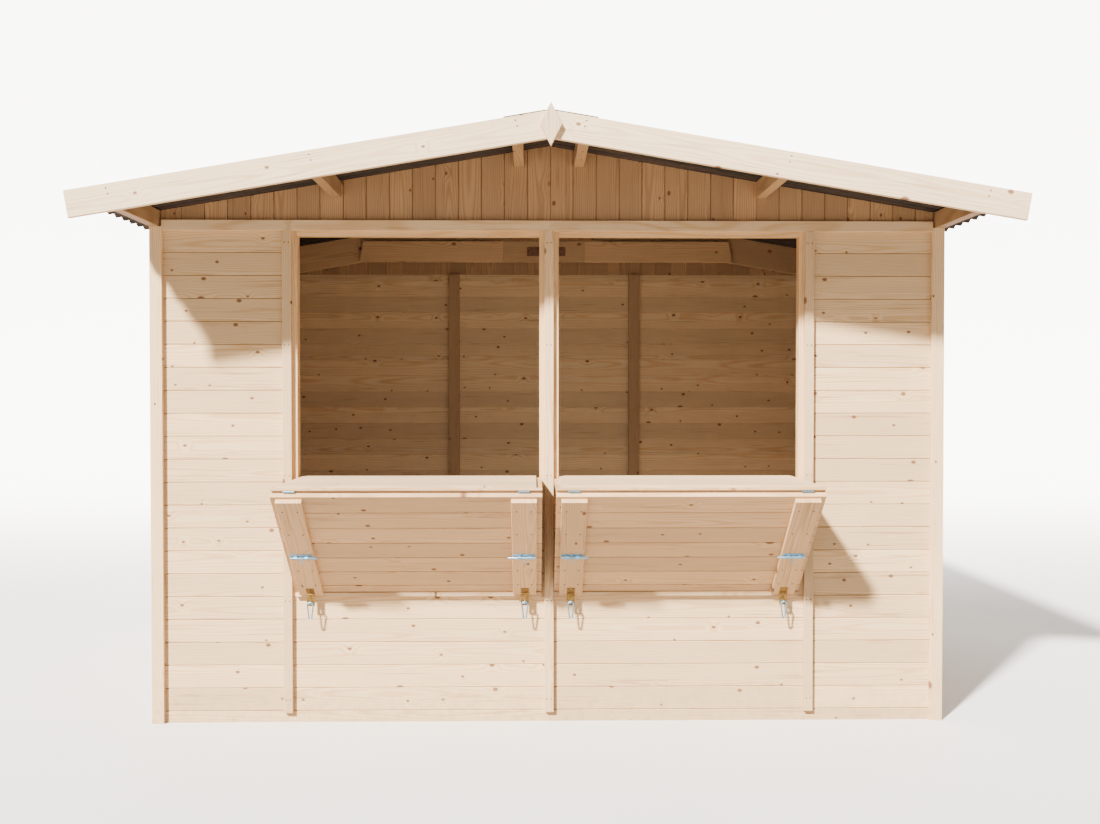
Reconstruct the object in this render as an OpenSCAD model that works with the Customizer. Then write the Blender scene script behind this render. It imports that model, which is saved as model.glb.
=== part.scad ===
// Wooden market stall: a boarded cabin with two front windows, each with a folding
// counter shutter, under a low gable roof of corrugated sheet. Millimetres, +Z up.
// The origin is on the ground at the centre of the plan and the front faces -Y.

/* [Walls] */
// Width across the boards of the two side walls
wall_w = 3004; // [2800:1:3700]
// Depth across the boards of the front and back walls
wall_d = 1914; // [1500:1:3000]
// Height of the side walls, up to the eave purlins
wall_h = 1899; // [1750:1:2300]
// Height of the front and back boards above the side walls
head_step = 26; // [15:1:45]
// Thickness of the wall boards
board_t = 18; // [12:1:28]
// Thickness of the studs behind the boards
stud_t = 27; // [20:1:60]
// Width of a stud
stud_w = 60; // [40:1:90]

/* [Windows] */
// Distance between the cover strips on the front
bay_w = 1000; // [850:1:1250]
// Clear width of a window
window_w = 926; // [700:1:940]
// Clear height of a window
window_h = 930; // [600:1:935]
// Height of the sill above the ground
sill_h = 937; // [780:1:950]
// Height of the rail under a window
sill_rail_h = 60; // [40:1:90]

/* [Trim] */
// Width of a cover strip
strip_w = 35; // [25:1:50]
// Thickness of strips, corner boards and head boards
strip_t = 18; // [10:1:25]
// Height of the foot of a cover strip above the ground
strip_foot = 40; // [20:1:90]
// Width of a corner board
corner_w = 47; // [35:1:70]
// Height of the head board
head_h = 40; // [25:1:55]
// Distance of the back joints from the middle
back_joint_x = 500; // [300:1:700]

/* [Roof] */
// Slope of the roof in degrees
roof_pitch = 9.55; // [5:0.05:20]
// Overhang of the roof at the front and the back
gable_overhang = 470; // [250:1:600]
// Overhang of the roof at the eaves
eave_overhang = 148; // [60:1:300]
// Height of the corrugated sheet
sheet_t = 18; // [12:1:40]
// Width of a purlin
purlin_w = 38; // [30:1:60]
// Height of a purlin
purlin_h = 60; // [45:1:90]
// Distance of the middle purlins from the ridge
mid_purlin_x = 815; // [500:1:1000]
// Distance of the ridge purlins from the ridge
ridge_purlin_x = 115; // [60:1:300]
// Height of a barge board, square to the slope
barge_h = 94; // [80:1:140]
// Thickness of a barge board
barge_t = 18; // [12:1:28]
// Height of the barge board above the underside of the sheet
barge_rise = 17; // [10:1:40]
// Width of one leg of the ridge cap
cap_leg = 165; // [100:1:250]
// Thickness of the ridge cap
cap_t = 3; // [2:0.5:6]
// Width of the diamond at the gable's peak
diamond_w = 76; // [50:1:120]
// Height of the diamond
diamond_h = 149; // [100:1:220]
// Height of the diamond's tip above the underside of the ridge
diamond_rise = 40; // [20:1:80]
// Thickness of the diamond
diamond_t = 18; // [8:1:20]

/* [Truss] */
// Height of a rafter
rafter_h = 120; // [80:1:160]
// Thickness of the rafters and the tie
rafter_t = 27; // [18:1:45]
// Height of the tie
tie_h = 96; // [60:1:120]
// Length of the tie
tie_l = 1740; // [1200:1:2000]
// Height of the tie's underside below the top of the side walls
tie_drop = 19; // [0:1:80]
// Length of the steel plate on the tie
tie_plate_l = 180; // [100:1:260]
// Height of the steel plate
tie_plate_h = 43; // [30:1:60]
// Thickness of the steel plate
tie_plate_t = 2; // [1:0.5:4]

/* [Shutters] */
// Width of a shutter
leaf_w = 940; // [650:1:950]
// Depth of the level leaf
leaf_d = 410; // [300:1:560]
// Thickness of a leaf
leaf_t = 18; // [14:1:24]
// Gap between the level leaf and the wall
leaf_gap = 8; // [2:1:15]
// Depth of the rebate under the level leaf's outer edge
lip_d = 12; // [6:1:20]
// Thickness of the lip over that rebate
lip_t = 9; // [5:1:12]
// Length of the leaf that braces the level one
brace_l = 574; // [520:1:740]
// Width of the board on the counter
counter_w = 900; // [600:1:920]
// Thickness of the board on the counter
counter_t = 8; // [6:1:18]
// Distance of the counter board's front behind the leaf's edge
counter_back = 3; // [0:1:10]
// Sideways play of the left shutter
left_play = 0; // [-10:1:10]
// Sideways play of the right shutter
right_play = -11; // [-20:1:20]
// Width of a batten on the bracing leaf
batten_w = 90; // [60:1:120]
// Thickness of a batten
batten_t = 18; // [12:1:25]
// Distance of a batten from the leaf's side
batten_side = 18; // [5:1:60]
// Distance of a batten from the leaf's upper end
batten_head = 11; // [5:1:40]
// Distance of a batten from the leaf's lower end
batten_foot = 6; // [4:1:40]
// Height of the ledge that carries the bracing leaf
ledge_h = 16; // [12:1:40]
// Thickness of the ledge
ledge_t = 20; // [16:1:30]

/* [Hardware] */
// Diameter of a hinge knuckle
knuckle_d = 8; // [6:0.5:9]
// Length of a hinge
hinge_l = 42; // [30:1:80]
// Length of a slide bolt's plate
bolt_l = 80; // [60:1:90]
// Width of a slide bolt's plate
bolt_w = 26; // [20:1:40]
// Diameter of a slide bolt's rod
rod_d = 8; // [6:1:10]
// Length of the rod beyond its plate
rod_tail = 20; // [10:1:40]
// Distance of a slide bolt from the leaf's upper end
bolt_at = 320; // [200:1:450]
// Thickness of plates and straps
plate_t = 2; // [1.5:0.5:4]
// Width of a hasp
hasp_w = 30; // [22:1:40]
// Length of the hasp's upper leaf
hasp_leaf_l = 34; // [24:1:60]
// Length of the hasp's strap
hasp_strap_l = 44; // [40:1:80]
// Diameter of a staple's pin
staple_d = 5; // [4:0.5:7]
// Length of a snap hook
hook_l = 70; // [50:1:100]
// Width of a snap hook
hook_w = 26; // [20:1:36]
// Thickness of a snap hook's wire
hook_t = 6; // [4:1:8]

/* [Hidden] */
$fn = 48;
fit_gap = 0.5;
wall_gap = 1;
brace_step = 3;
staple_nose = 3;
over = 2;
roof_tan = tan(roof_pitch);
roof_cos = cos(roof_pitch);
front_y = -wall_d / 2;
inner_y = front_y + board_t + stud_t;
side_x = wall_w / 2;
head_z = wall_h + head_step;
window_side = (bay_w - window_w) / 2;
window_top = sill_h + window_h;
trim_x = side_x + strip_t;
eave_purlin_x = trim_x - purlin_w / 2;
ridge_z = wall_h + purlin_h + eave_purlin_x * roof_tan;
roof_x = side_x + eave_overhang;
roof_y = wall_d / 2 + gable_overhang - barge_t;
strip_top = head_z - head_h;
tie_z = wall_h - tie_drop;
counter_z = sill_h;
leaf_top = counter_z;
brace_y = -(leaf_gap + leaf_d - lip_d + brace_step);
brace_z = leaf_top - leaf_t;
brace_run = -brace_y - wall_gap;
brace_angle = acos(brace_run / brace_l);
ledge_top = brace_z - brace_l * sin(brace_angle) - leaf_t * cos(brace_angle);
batten_x = leaf_w / 2 - batten_side - batten_w / 2;
batten_end = brace_l - batten_foot;
batten_face = -leaf_t - batten_t;
hasp_knuckle_r = plate_t * 1.5;
hasp_knuckle_at = batten_end - plate_t * 6;
hasp_axis = batten_face - plate_t * 1.6;
strap_y = brace_y + hasp_knuckle_at * cos(brace_angle) + hasp_axis * sin(brace_angle) + plate_t / 2;
strap_z = brace_z - hasp_knuckle_at * sin(brace_angle) + hasp_axis * cos(brace_angle);
pin_z = strap_z - hasp_strap_l + staple_d + 2 * plate_t;
pin_end_y = strap_y - plate_t - hook_t - staple_nose;

// Underside of the roof sheet at a distance from the ridge
function roof_under(x) = ridge_z - abs(x) * roof_tan;

// A box from its lowest corner to its highest
module block(low, high) {
    translate(low) cube(high - low);
}

// An outline in the XZ plane carried along Y from y0 to y1
module along_y(y0, y1) {
    translate([0, y1, 0]) rotate([90, 0, 0]) linear_extrude(y1 - y0) children();
}

// The room that an eave purlin takes at the top of a wall
module eave_notch(side) {
    x0 = eave_purlin_x - purlin_w / 2 - fit_gap;
    mirror([side < 0 ? 1 : 0, 0, 0])
        block([x0, -wall_d, wall_h], [trim_x + over, wall_d, head_z + purlin_h]);
}

// Walls

module wall_end(side) {
    color("#e6dccf") difference() {
        mirror([side < 0 ? 1 : 0, 0, 0])
            block([bay_w, front_y, 0], [side_x, front_y + board_t, head_z]);
        eave_notch(side);
    }
}

module wall_under_window(side) {
    color("#e6dccf") mirror([side < 0 ? 1 : 0, 0, 0])
        block([0, front_y, 0], [bay_w, front_y + board_t, sill_h]);
}

module side_wall(side) {
    color("#dccab4") mirror([side < 0 ? 1 : 0, 0, 0])
        block([side_x - board_t, front_y + board_t, 0], [side_x, -front_y - board_t, wall_h]);
}

module rear_wall() {
    color("#dccab4") difference() {
        block([-side_x, -front_y - board_t, 0], [side_x, -front_y, head_z]);
        eave_notch(-1);
        eave_notch(1);
    }
}

// Boards over the head board, cut round the purlins
module gable_outline() {
    end_x = eave_purlin_x - purlin_w / 2 - fit_gap;
    difference() {
        polygon([[-end_x, head_z], [end_x, head_z], [end_x, roof_under(end_x) - fit_gap],
            [0, ridge_z - fit_gap], [-end_x, roof_under(end_x) - fit_gap]]);
        for (x = [-mid_purlin_x, -ridge_purlin_x, ridge_purlin_x, mid_purlin_x])
            translate([x - purlin_w / 2 - fit_gap, roof_under(x) - purlin_h - fit_gap])
                square([purlin_w + 2 * fit_gap, purlin_h + 2 * purlin_w]);
    }
}

module gable(side) {
    y0 = side < 0 ? front_y : -front_y - board_t;
    color("#8f6a44") along_y(y0, y0 + board_t) gable_outline();
}

// Posts down to the ground, the window's jambs, its lintel and the rail under it
module window_frame(side) {
    color("#c9a882") mirror([side < 0 ? 1 : 0, 0, 0]) {
        for (x = [0, bay_w - window_side]) {
            block([x, front_y, sill_h], [x + window_side, inner_y, head_z]);
            block([x, front_y + board_t, 0], [x + window_side, inner_y, sill_h]);
        }
        block([0, front_y, window_top], [bay_w, inner_y, head_z]);
        block([0, front_y + board_t, sill_h - sill_rail_h], [bay_w, inner_y, sill_h]);
    }
}

// Trim

module head_board(side) {
    x1 = trim_x - corner_w;
    color("#c9a27a") mirror([side < 0 ? 1 : 0, 0, 0])
        block([0, front_y - strip_t, strip_top], [x1, front_y, head_z]);
}

module rear_head_board() {
    x1 = trim_x - corner_w;
    color("#c9a27a") block([-x1, -front_y, strip_top], [x1, -front_y + strip_t, head_z]);
}

module cover_strip(x) {
    color("#e9dfd3")
        block([x - strip_w / 2, front_y - strip_t, strip_foot], [x + strip_w / 2, front_y, strip_top]);
}

module side_strips() {
    color("#e0cfba") for (side = [0, 1]) mirror([side, 0, 0])
        block([side_x, -strip_w / 2, strip_foot], [trim_x, strip_w / 2, wall_h]);
}

module rear_strips() {
    color("#e0cfba") for (x = [-back_joint_x, back_joint_x])
        block([x - strip_w / 2, -front_y, strip_foot], [x + strip_w / 2, -front_y + strip_t, strip_top]);
}

// Two boards that cover a corner of the cabin, joined at its edge
module corner_board(side_x_sign, side_y_sign) {
    color("#e6dccf") mirror([side_x_sign < 0 ? 1 : 0, 0, 0]) mirror([0, side_y_sign < 0 ? 1 : 0, 0]) {
        block([trim_x - corner_w, -front_y, 0], [trim_x, -front_y + strip_t, wall_h]);
        block([side_x, -front_y + strip_t - corner_w, 0], [trim_x, -front_y + strip_t, wall_h]);
    }
}

// Frame inside

module side_studs(side) {
    x0 = side_x - board_t - stud_t;
    y_end = -inner_y - stud_w / 2;
    color("#a98355") mirror([side < 0 ? 1 : 0, 0, 0]) for (y = [-y_end, 0, y_end])
        block([x0, y - stud_w / 2, 0], [x0 + stud_t, y + stud_w / 2, wall_h]);
}

module rear_studs() {
    color("#a98355") for (x = [-back_joint_x, back_joint_x])
        block([x - stud_w / 2, -front_y - board_t - stud_t, 0],
            [x + stud_w / 2, -front_y - board_t, head_z]);
}

// Roof

// A purlin whose top follows the slope
module purlin(x) {
    x0 = x - purlin_w / 2;
    x1 = x + purlin_w / 2;
    z0 = roof_under(x) - purlin_h;
    color("#9b7448") along_y(-roof_y, roof_y)
        polygon([[x0, z0], [x1, z0], [x1, roof_under(x1)], [x0, roof_under(x0)]]);
}

module roof_sheet(side) {
    color("#2e2622") mirror([side < 0 ? 1 : 0, 0, 0]) along_y(-roof_y, roof_y)
        polygon([[0, ridge_z], [roof_x, roof_under(roof_x)],
            [roof_x, roof_under(roof_x) + sheet_t / roof_cos], [0, ridge_z + sheet_t / roof_cos]]);
}

module roof_cap() {
    leg_x = cap_leg * roof_cos;
    low = ridge_z + sheet_t / roof_cos;
    high = low + cap_t / roof_cos;
    drop = leg_x * roof_tan;
    color("#3a2f2a") along_y(-roof_y, roof_y)
        polygon([[0, low], [leg_x, low - drop], [leg_x, high - drop], [0, high],
            [-leg_x, high - drop], [-leg_x, low - drop]]);
}

// A board along the gable's edge, plumb at the ridge and square at the eave
module barge_board(side, y0) {
    top = ridge_z + barge_rise;
    end_x = roof_x;
    low_x = end_x - barge_h * sin(roof_pitch);
    color("#f0e8df") mirror([side < 0 ? 1 : 0, 0, 0]) along_y(y0, y0 + barge_t)
        polygon([[0, top], [end_x, top - end_x * roof_tan],
            [low_x, top - end_x * roof_tan - barge_h * roof_cos], [0, top - barge_h / roof_cos]]);
}

module diamonds() {
    mid_z = ridge_z + diamond_rise - diamond_h / 2;
    color("#efe6de") for (y0 = [-roof_y - barge_t - diamond_t, roof_y + barge_t])
        along_y(y0, y0 + diamond_t)
            polygon([[-diamond_w / 2, mid_z], [0, mid_z - diamond_h / 2], [diamond_w / 2, mid_z],
                [0, mid_z + diamond_h / 2]]);
}

// Truss

module rafter(side) {
    x1 = side_x - board_t - stud_t;
    top = ridge_z - purlin_h - roof_tan * purlin_w / 2;
    low = top - rafter_h / roof_cos;
    color("#8d6840") mirror([side < 0 ? 1 : 0, 0, 0]) along_y(-rafter_t / 2, rafter_t / 2)
        polygon([[0, low], [x1, low - x1 * roof_tan], [x1, top - x1 * roof_tan], [0, top]]);
}

module tie() {
    low_x = tie_l / 2;
    high_x = low_x - tie_h * roof_tan;
    color("#8d6840") along_y(-rafter_t * 3 / 2, -rafter_t / 2)
        polygon([[-low_x, tie_z], [low_x, tie_z], [high_x, tie_z + tie_h], [-high_x, tie_z + tie_h]]);
}

module tie_plate() {
    z0 = tie_z + (tie_h - tie_plate_h) / 2;
    y1 = -rafter_t * 3 / 2;
    color("#6b5a4c")
        block([-tie_plate_l / 2, y1 - tie_plate_t, z0], [tie_plate_l / 2, y1, z0 + tie_plate_h]);
}

// Shutters. Each is drawn about its own middle, with the wall's face at y = 0.

module at_window(side) {
    x = side < 0 ? -bay_w / 2 + left_play : bay_w / 2 + right_play;
    translate([x, front_y, 0]) children();
}

// The frame of the bracing leaf: y down the slope, z out of its upper face
module on_brace() {
    translate([0, brace_y, brace_z]) rotate([-brace_angle, 0, 0]) children();
}

module counter_leaf(side) {
    back = -leaf_gap;
    front = back - leaf_d;
    color("#dcc8b0") at_window(side) {
        block([-leaf_w / 2, front + lip_d, leaf_top - leaf_t], [leaf_w / 2, back, leaf_top]);
        block([-leaf_w / 2, front, leaf_top - lip_t], [leaf_w / 2, front + lip_d, leaf_top]);
    }
}

module counter_board(side) {
    front = -(leaf_gap + leaf_d - counter_back);
    color("#ddc9b6") at_window(side)
        block([-counter_w / 2, front, counter_z],
            [counter_w / 2, board_t + stud_t, counter_z + counter_t]);
}

// A leaf with two battens on its outer face
module brace_leaf(side) {
    color("#caa98a") at_window(side) on_brace() {
        block([-leaf_w / 2, 0, -leaf_t], [leaf_w / 2, brace_l, 0]);
        for (edge = [0, 1]) mirror([edge, 0, 0])
            block([leaf_w / 2 - batten_side - batten_w, batten_head, -leaf_t - batten_t],
                [leaf_w / 2 - batten_side, brace_l - batten_foot, -leaf_t]);
    }
}

module ledge(side) {
    color("#e0cdb8") at_window(side)
        block([-leaf_w / 2, -ledge_t, ledge_top - ledge_h], [leaf_w / 2, 0, ledge_top]);
}

// Knuckles in the gap between the level leaf's lip and the bracing leaf
module shutter_hinges(side) {
    knuckle_z = leaf_top - lip_t - knuckle_d / 2;
    color("#d9d2c4") at_window(side) for (edge = [0, 1]) mirror([edge, 0, 0]) {
        translate([batten_x - hinge_l / 2, brace_y - knuckle_d / 2, knuckle_z]) rotate([0, 90, 0])
            cylinder(d = knuckle_d, h = hinge_l);
    }
}

// A plate, its housing and the rod that slides in it
module slide_bolt() {
    housing_l = bolt_l * 0.6;
    housing_w = rod_d + 2 * plate_t;
    housing_h = rod_d + 2 * plate_t;
    block([-bolt_l / 2, -bolt_w / 2, -plate_t], [bolt_l / 2, bolt_w / 2, 0]);
    block([-housing_l / 2, -housing_w / 2, -plate_t - housing_h],
        [housing_l / 2, housing_w / 2, -plate_t]);
    translate([-bolt_l / 2, 0, -plate_t - housing_h / 2]) rotate([0, 90, 0])
        cylinder(d = rod_d, h = bolt_l + rod_tail);
}

module slide_bolts(side) {
    color("#aab4bd") at_window(side) on_brace() translate([0, bolt_at, batten_face]) {
        translate([-batten_x, 0, 0]) slide_bolt();
        translate([batten_x, 0, 0]) mirror([1, 0, 0]) slide_bolt();
    }
}

// A plate on the batten and the knuckle at its lower end
module hasp_plate() {
    on_brace() {
        block([-hasp_w / 2, hasp_knuckle_at - hasp_leaf_l, batten_face - plate_t],
            [hasp_w / 2, hasp_knuckle_at, batten_face]);
        translate([-hasp_w / 2 - fit_gap, hasp_knuckle_at, hasp_axis]) rotate([0, 90, 0])
            cylinder(r = hasp_knuckle_r, h = hasp_w + 2 * fit_gap);
    }
}

// The strap that hangs from the knuckle, with the hole for the staple's pin
module hasp_strap() {
    difference() {
        block([-hasp_w / 2, strap_y - plate_t, strap_z - hasp_strap_l], [hasp_w / 2, strap_y, strap_z]);
        translate([0, strap_y + over, pin_z]) rotate([90, 0, 0])
            cylinder(d = staple_d + 2 * fit_gap, h = plate_t + 2 * over);
    }
}

// A pin from the wall's face, with a nose that keeps the hook on
module staple() {
    translate([0, 0, pin_z]) rotate([90, 0, 0]) cylinder(d = staple_d, h = -pin_end_y);
}

module hasp() {
    hasp_plate();
    hasp_strap();
    staple();
    translate([0, strap_y - plate_t - hook_t - wall_gap, pin_z]) snap_hook();
}

// A flat wire loop that hangs from the pin
module snap_hook() {
    bend = hook_w / 2;
    straight = hook_l - hook_w;
    drop = hook_l / 2 - hook_t - staple_d / 2;
    translate([0, 0, -drop]) along_y(0, hook_t) difference() {
        union() {
            square([hook_w, straight], center = true);
            for (z = [-straight / 2, straight / 2]) translate([0, z]) circle(r = bend);
        }
        square([hook_w - 2 * hook_t, straight], center = true);
        for (z = [-straight / 2, straight / 2]) translate([0, z]) circle(r = bend - hook_t);
    }
}

module hasps(side) {
    color("#c9b37a") at_window(side) for (x = [-batten_x, batten_x]) translate([x, 0, 0]) hasp();
}

wall_end(-1);  // front_wall_left
wall_end(1);  // front_wall_right
wall_under_window(-1);  // front_wall_under_left_window
wall_under_window(1);  // front_wall_under_right_window
side_wall(-1);  // left_side_wall
side_wall(1);  // right_side_wall
rear_wall();  // back_wall
gable(-1);  // front_gable
gable(1);  // back_gable
window_frame(-1);  // left_window_frame
window_frame(1);  // right_window_frame
head_board(-1);  // front_head_board_left
head_board(1);  // front_head_board_right
rear_head_board();  // back_head_board
cover_strip(-bay_w);  // front_cover_strip_left
cover_strip(0);  // front_cover_strip_middle
cover_strip(bay_w);  // front_cover_strip_right
side_strips();  // side_cover_strips
rear_strips();  // back_cover_strips
corner_board(-1, -1);  // front_left_corner_board
corner_board(1, -1);  // front_right_corner_board
corner_board(-1, 1);  // back_left_corner_board
corner_board(1, 1);  // back_right_corner_board
side_studs(-1);  // left_wall_studs
side_studs(1);  // right_wall_studs
rear_studs();  // back_wall_studs
purlin(-eave_purlin_x);  // left_eave_purlin
purlin(eave_purlin_x);  // right_eave_purlin
purlin(-mid_purlin_x);  // left_middle_purlin
purlin(mid_purlin_x);  // right_middle_purlin
purlin(-ridge_purlin_x);  // left_ridge_purlin
purlin(ridge_purlin_x);  // right_ridge_purlin
rafter(-1);  // left_rafter
rafter(1);  // right_rafter
tie();  // truss_tie
tie_plate();  // truss_plate
roof_sheet(-1);  // left_roof_sheet
roof_sheet(1);  // right_roof_sheet
roof_cap();  // ridge_cap
barge_board(-1, -roof_y - barge_t);  // front_barge_board_left
barge_board(1, -roof_y - barge_t);  // front_barge_board_right
barge_board(-1, roof_y);  // back_barge_board_left
barge_board(1, roof_y);  // back_barge_board_right
diamonds();  // gable_diamonds
counter_leaf(-1);  // left_counter_leaf
counter_leaf(1);  // right_counter_leaf
counter_board(-1);  // left_counter_board
counter_board(1);  // right_counter_board
brace_leaf(-1);  // left_brace_leaf
brace_leaf(1);  // right_brace_leaf
ledge(-1);  // left_ledge
ledge(1);  // right_ledge
shutter_hinges(-1);  // left_shutter_hinges
shutter_hinges(1);  // right_shutter_hinges
slide_bolts(-1);  // left_slide_bolts
slide_bolts(1);  // right_slide_bolts
hasps(-1);  // left_hasps
hasps(1);  // right_hasps
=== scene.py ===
"""Looks of the wooden market stall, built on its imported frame. Metres, +Z up, the front faces -Y."""
import logging
import math
from dataclasses import dataclass
from enum import Enum

import bpy
import numpy as np
from mathutils import Euler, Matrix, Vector


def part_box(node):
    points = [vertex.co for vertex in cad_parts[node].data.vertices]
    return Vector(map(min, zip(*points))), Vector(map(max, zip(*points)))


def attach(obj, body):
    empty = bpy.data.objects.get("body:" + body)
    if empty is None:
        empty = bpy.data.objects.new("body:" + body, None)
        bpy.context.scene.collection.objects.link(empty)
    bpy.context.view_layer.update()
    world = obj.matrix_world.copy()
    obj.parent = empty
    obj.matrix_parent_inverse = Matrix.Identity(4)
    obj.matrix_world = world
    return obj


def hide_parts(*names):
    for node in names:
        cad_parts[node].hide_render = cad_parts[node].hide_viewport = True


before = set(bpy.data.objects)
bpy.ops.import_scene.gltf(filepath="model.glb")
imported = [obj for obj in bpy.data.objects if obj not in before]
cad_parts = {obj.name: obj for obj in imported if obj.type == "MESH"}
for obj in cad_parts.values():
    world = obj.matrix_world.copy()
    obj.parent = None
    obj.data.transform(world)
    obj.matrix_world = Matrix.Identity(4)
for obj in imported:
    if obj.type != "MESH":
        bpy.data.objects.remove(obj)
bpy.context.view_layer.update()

LOG = logging.getLogger("market_stall")
MM = 0.001
X = np.array([1.0, 0.0, 0.0])
Y = np.array([0.0, 1.0, 0.0])
Z = np.array([0.0, 0.0, 1.0])
GRAIN = "grain_place"
TONE = "board_tone"
SMOOTH_ANGLE = math.radians(32)
PLANED = 1.2 * MM


class Side(Enum):
    """The left or the right of the stall, seen from the front."""

    LEFT = -1
    RIGHT = 1

    @property
    def word(self) -> str:
        """The side's name as the nodes use it."""
        return self.name.lower()


def span(node: str) -> tuple[np.ndarray, np.ndarray]:
    """The lowest and highest corners of a frame node."""
    low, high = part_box(node)
    return np.array(low), np.array(high)


def unit(vector: np.ndarray) -> np.ndarray:
    """The vector at length one."""
    return vector / np.linalg.norm(vector)


# ---------------------------------------------------------------------------------- shapes


def rectangle(width: float, depth: float) -> np.ndarray:
    """Corners of a rectangle from zero, anticlockwise."""
    return np.array([(0, 0), (width, 0), (width, depth), (0, depth)], float)


def eased(outline: np.ndarray, ease: float) -> np.ndarray:
    """Cuts each corner of an outline: two points, each that far along an edge, stand for it.

    Args:
        outline: Corners (across, out), anticlockwise.
        ease: Length that a cut takes from either edge.

    Returns:
        Twice as many points.
    """
    back = np.roll(outline, 1, axis=0) - outline
    ahead = np.roll(outline, -1, axis=0) - outline
    back *= ease / np.linalg.norm(back, axis=1, keepdims=True)
    ahead *= ease / np.linalg.norm(ahead, axis=1, keepdims=True)
    return np.stack([outline + back, outline + ahead], axis=1).reshape(-1, 2)


def inset(outline: np.ndarray, amount: float) -> np.ndarray:
    """Moves each edge of an outline inwards by the amount.

    A corner moves along the sum of its two edge normals, over one plus their product.
    """
    edge = np.roll(outline, -1, axis=0) - outline
    edge /= np.linalg.norm(edge, axis=1, keepdims=True)
    normal = np.stack([-edge[:, 1], edge[:, 0]], axis=1)
    before = np.roll(normal, 1, axis=0)
    share = 1 + (normal * before).sum(axis=1, keepdims=True)
    return outline + amount * (normal + before) / share


def vee_board(cover: float, thick: float, first: bool = True, last: bool = True,
              vee: float = 2.6 * MM, slot: float = 6.0 * MM) -> np.ndarray:
    """Section of a matched board: a rectangle with a bevel to each side of its face, then a narrow slot.

    Two neighbours make a V with a dark line at its foot. The back has a small bevel too.

    Args:
        cover: Width of the board between joints.
        thick: Thickness of the board.
        first: Whether the edge at zero has its joint, or is plain.
        last: Whether the far edge has its joint, or is plain.
        vee: Size of a bevel on the face.
        slot: Depth of the slot at the foot of the bevel.

    Returns:
        Points (across, out), anticlockwise.
    """
    half = 0.7 * MM
    vee = min(vee, cover * 0.2)
    foot = thick - vee
    edge = np.array([(1.5 * MM, 0), (0, 1.5 * MM), (0, foot - slot), (half, foot - slot), (half, foot),
                     (vee, thick)])
    plain = np.array([(0, 0), (0, thick)])
    right = (edge if last else plain) * (-1, 1) + (cover, 0)
    left = (edge if first else plain)[::-1]
    return np.concatenate([right, left])


def ring_points(count: int) -> np.ndarray:
    """Points (cosine, sine) at equal angles round a circle."""
    angle = np.arange(count) * 2 * math.pi / count
    return np.stack([np.cos(angle), np.sin(angle)], axis=1)


def bands(loops: int, count: int, ring: bool = False) -> np.ndarray:
    """Quads that join each loop of points to the next, and the last to the first in a ring."""
    i = np.arange(count)
    j = (i + 1) % count
    here = np.arange(loops if ring else loops - 1)[:, None] * count
    there = (here + count) % (loops * count)
    return np.stack([here + i, here + j, there + j, there + i], axis=2).reshape(-1, 4)


def caps(loops: int, count: int) -> np.ndarray:
    """The two faces that close the first and the last loop of points."""
    i = np.arange(count)
    return np.stack([i[::-1], i + (loops - 1) * count])


def cells(rows: int, cols: int) -> np.ndarray:
    """Quads of a grid of points, numbered row by row."""
    index = np.arange(rows * cols).reshape(rows, cols)
    return np.stack([index[:-1, :-1], index[1:, :-1], index[1:, 1:], index[:-1, 1:]], axis=2).reshape(-1, 4)


def add_object(name: str, data: bpy.types.ID) -> bpy.types.Object:
    """A new object of a mesh, lamp or camera, in the scene."""
    item = bpy.data.objects.new(name, data)
    bpy.context.scene.collection.objects.link(item)
    return item


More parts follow.
